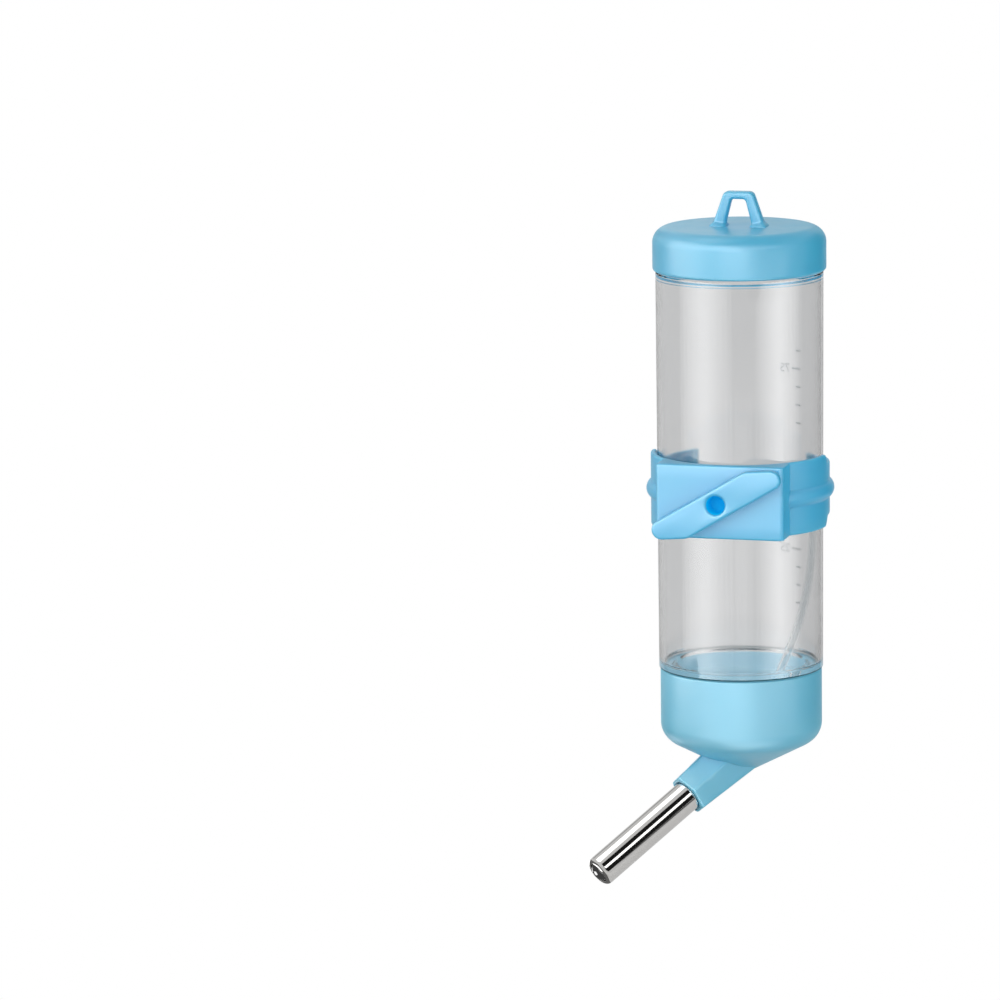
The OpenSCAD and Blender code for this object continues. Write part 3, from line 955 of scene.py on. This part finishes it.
def numeral_mesh(text, size, x, y):
    """Flat mesh of a numeral with its lower left corner at (x, y)."""
    curve = bpy.data.curves.new("numeral", "FONT")
    curve.body = text
    curve.size = size
    curve.resolution_u = 3
    temp = bpy.data.objects.new("numeral", curve)
    bpy.context.scene.collection.objects.link(temp)
    graph = bpy.context.evaluated_depsgraph_get()
    mesh = bpy.data.meshes.new_from_object(temp.evaluated_get(graph))
    bpy.data.objects.remove(temp)
    bpy.data.curves.remove(curve)
    mesh.transform(Matrix.Translation((x, y, 0)))
    return mesh


def dash(x, y, w, h=0.35):
    """Rectangle from x to the right, with its middle at the level y."""
    return [(x, y - h / 2), (x + w, y - h / 2), (x + w, y + h / 2), (x, y + h / 2)]


# marks at 5 ml, of which every fifth is longer and numbered
scale_deg = 61
ink = 0.05
marks_to_number = 5
ml_to_mark = 5
numbered_height = 22.1
scale_foot = shoulder_base + 4.0
for level in range(1, 17):
    z = scale_foot + numbered_height * level / marks_to_number
    if z > shoulder_top - 9:
        break
    numbered = level % marks_to_number == 0
    # none behind the clip
    if abs(z - clip_z) < clip_half + 1.5:
        continue
    meshes = [flat_mesh([dash(-3.0, 0, 3.2 if numbered else 1.8)])]
    if numbered:
        meshes.append(numeral_mesh(str(level * ml_to_mark), 3.0, 1.0, -1.05))
    for part, mesh in enumerate(meshes):
        obj = bpy.data.objects.new(f"scale_{level}_{part}", mesh)
        bpy.context.scene.collection.objects.link(obj)
        wrap(obj, scale_deg, z, ink)
        piece(obj, "bottle", scale_grey)

# ---------------------------------------------------------------- seals and liner keep their CAD shapes
for node, material in (("top_seal", seal_white), ("base_seal", seal_white), ("tube_seal", seal_dark),
                       ("tube_liner", liner_white)):
    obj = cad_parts[node]
    if not obj.data.materials:
        obj.data.materials.append(material)
    for slot in obj.material_slots:
        slot.material = material

# ---------------------------------------------------------------- studio
# what the lights and cards face
object_middle = (0, 0, -0.07)
tube_middle = (-0.014, -0.017, -0.148)
spout_tip = (-0.022, -0.025, -0.153)


def emitter(name, strength):
    """White light of one strength, as a material."""
    mat = bpy.data.materials.new(name)
    mat.use_nodes = True
    tree = mat.node_tree
    tree.nodes.clear()
    out = tree.nodes.new("ShaderNodeOutputMaterial")
    tree.links.new(white_node(tree, "ShaderNodeEmission", strength), out.inputs["Surface"])
    return mat


def pointed(centre, direction):
    """Place at centre with its own Z along direction."""
    return Matrix.Translation(centre) @ direction.to_track_quat("Z", "Y").to_matrix().to_4x4()


def card(name, centre, width, height, strength, look=object_middle):
    """Flat panel that only shows in reflections, facing look."""
    mesh = bpy.data.meshes.new(name)
    w, h = width / 2, height / 2
    mesh.from_pydata([(-w, -h, 0), (w, -h, 0), (w, h, 0), (-w, h, 0)], [], [(0, 1, 2, 3)])
    obj = bpy.data.objects.new(name, mesh)
    obj.data.materials.append(emitter(name, strength))
    centre = Vector(centre)
    obj.matrix_world = pointed(centre, Vector(look) - centre)
    bpy.context.scene.collection.objects.link(obj)
    obj.visible_camera = False
    obj.visible_transmission = False
    obj.visible_diffuse = False
    obj.visible_shadow = False
    return obj


def around(azimuth_deg, distance, z):
    """Place at an angle to the right of the camera's side of the object."""
    a = math.radians(azimuth_deg) + azimuth
    return (distance * math.sin(a), -distance * math.cos(a), z)


def toward(azimuth_deg, elevation_deg, distance, start=tube_middle):
    """Place seen from start at an angle right of the camera's side and over the horizon."""
    a, e = math.radians(azimuth_deg) + azimuth, math.radians(elevation_deg)
    aim = Vector((math.sin(a) * math.cos(e), -math.cos(a) * math.cos(e), math.sin(e)))
    return Vector(start) + aim * distance


def group_of(name, objects):
    """Collection for light linking."""
    group = bpy.data.collections.new(name)
    for obj in objects:
        group.objects.link(obj)
    return group


def lamp(name, place, width, height, radiance, lights, look=object_middle, blockers=None):
    """Softbox seen only in the gloss of some pieces, or without them a key light without gloss.

    With blockers, only these pieces cast its shadows.
    """
    data = bpy.data.lights.new(name, "AREA")
    data.shape = "RECTANGLE"
    data.size, data.size_y = width, height
    data.energy = radiance * math.pi * width * height
    obj = bpy.data.objects.new(name, data)
    centre = Vector(place)
    obj.matrix_world = pointed(centre, centre - Vector(look))
    bpy.context.scene.collection.objects.link(obj)
    obj.visible_camera = False
    obj.visible_transmission = False
    if lights is None:
        obj.visible_glossy = False
        return
    obj.visible_diffuse = False
    obj.light_linking.receiver_collection = group_of("lit_by_" + name, lights)
    if blockers is not None:
        obj.light_linking.blocker_collection = group_of("blocks_" + name, blockers)


# veils: the soft sheen of the blue plastic
blue_pieces = [cap_shell, cap_loop, base_shell, boss, clip, toggle]
lamp("veil_left", around(-72, 1.1, 0.26), 1.6, 1.2, 3.7, blue_pieces)
lamp("veil_front", around(-2, 1.1, 0.26), 1.3, 1.2, 3.7, blue_pieces)
lamp("veil_right", around(46, 1.1, 0.26), 0.7, 1.2, 3.2, blue_pieces)
lamp("veil_low", around(-50, 0.75, -0.49), 1.7, 1.1, 2.5, [cap_shell, cap_loop, base_shell, boss],
     look=around(-50, 0.75, 0.0))
lamp("veil_back", around(-150, 1.2, 0.65), 1.6, 1.0, 0.55, blue_pieces)
lamp("veil_top", (-0.06, -0.02, 1.2), 0.9, 0.9, 3.2, [boss], blockers=[boss])
lamp("veil_clip", around(-40, 1.15, 0.1), 1.2, 1.2, 1.5, [clip, toggle])
lamp("veil_base", around(-10, 1.15, 0.0), 2.3, 1.2, 1.45, [base_shell, boss])
lamp("veil_base_left", around(-88, 1.15, 0.0), 0.9, 1.2, 2.3, [base_shell])
lamp("veil_base_right", around(62, 1.15, 0.0), 0.9, 1.2, 1.4, [base_shell])

# columns: the barrel's upright reflections, from nested softboxes so that their sides are soft
layer = 0.01
for share, width in enumerate((0.3, 0.65, 1.0, 1.35, 1.7)):
    lamp(f"column_left_{share}", around(-50, 1.0 + layer * share, -0.05), width, 1.1, 1.2, [barrel])
    lamp(f"column_right_{share}", around(55, 1.0 + layer * share, -0.05), width * 0.8, 1.1, 1.3, [barrel])
for share, width in enumerate((0.30, 0.60, 0.9)):
    lamp(f"column_low_{share}", around(1, 1.05 + layer * share, -0.376), width, 0.3, 0.75, [barrel])
lamp("vent_light", around(-38, 1.0, -0.05), 0.25, 1.2, 20.0, [vent])
card("dark_right", around(122, 1.0, 0.05), 1.1, 0.9, 0.02)
lamp("key", around(-32, 1.2, 0.5), 0.8, 0.6, 1.75, None)
lamp("fill", around(48, 1.2, 0.0), 0.8, 0.8, 0.7, None)

# a flag overhead keeps daylight off the upward faces
flag = card("flag", (0, 0, 1.0), 0.92, 0.92, 0.01)
flag.visible_glossy = False
flag.visible_diffuse = True
flag.visible_shadow = True

# reflections in the steel
card("steel_ceiling", toward(-100, 70, 1.0), 0.62, 0.5, 1.8, look=spout_tip)
card("steel_rim", toward(-156, 24, 1.0), 0.30, 0.22, 0.35, look=spout_tip)
card("steel_dark", toward(36, 32, 1.0), 1.0, 1.3, 0.01, look=spout_tip)
card("steel_strip", toward(41, 32, 0.9), 0.7, 0.22, 1.9, look=spout_tip)
card("steel_shade", toward(61, -3, 0.12), 0.036, 0.019, 0.12, look=spout_tip)

# round the ball: dark, with two small bright spots
card("ball_dark", toward(-105, -42, 0.06, start=spout_tip), 0.165, 0.145, 0.14, look=spout_tip)
card("ball_spot", toward(-95, -35, 0.055, start=spout_tip), 0.026, 0.018, 3.0, look=spout_tip)
card("ball_edge", toward(-150, -15, 0.055, start=spout_tip), 0.022, 0.019, 2.5, look=spout_tip)


def add_floor(radius=14, z=-0.5, sides=96):
    """Pale floor, wide enough to fill the view: plain white for the camera."""
    mesh = bpy.data.meshes.new("floor")
    rim = [(radius * math.cos(math.tau * k / sides), radius * math.sin(math.tau * k / sides), z)
           for k in range(sides)]
    mesh.from_pydata(rim, [], [tuple(range(sides))])
    obj = bpy.data.objects.new("floor", mesh)
    bpy.context.scene.collection.objects.link(obj)
    mat, tree, shader = nodes_of("floor_white")
    shader.inputs["Base Color"].default_value = (0.74, 0.74, 0.74, 1)
    shader.inputs["Roughness"].default_value = 0.9
    rays = tree.nodes.new("ShaderNodeLightPath")
    white = white_node(tree, "ShaderNodeEmission", 1.0)
    shown = mix_shaders(tree, rays.outputs["Is Camera Ray"], shader.outputs["BSDF"], white)
    tree.links.new(shown, tree.nodes["Material Output"].inputs["Surface"])
    mesh.materials.append(mat)


def add_world(daylight=0.82, mirrored=0.64):
    """White sky for the camera, grey in reflections and through clear plastic, and daylight."""
    world = bpy.data.worlds.new("world")
    bpy.context.scene.world = world
    world.use_nodes = True
    tree = world.node_tree
    tree.nodes.clear()
    rays = tree.nodes.new("ShaderNodeLightPath")
    either = tree.nodes.new("ShaderNodeMath")
    either.operation = "MAXIMUM"
    tree.links.new(rays.outputs["Is Glossy Ray"], either.inputs[0])
    tree.links.new(rays.outputs["Is Transmission Ray"], either.inputs[1])
    seen, lit, mirror = [white_node(tree, "ShaderNodeBackground", strength)
                         for strength in (1.0, daylight, mirrored)]
    unseen = mix_shaders(tree, either.outputs[0], lit, mirror)
    shown = mix_shaders(tree, rays.outputs["Is Camera Ray"], unseen, seen)
    out = tree.nodes.new("ShaderNodeOutputWorld")
    tree.links.new(shown, out.inputs["Surface"])


add_floor()
add_world()
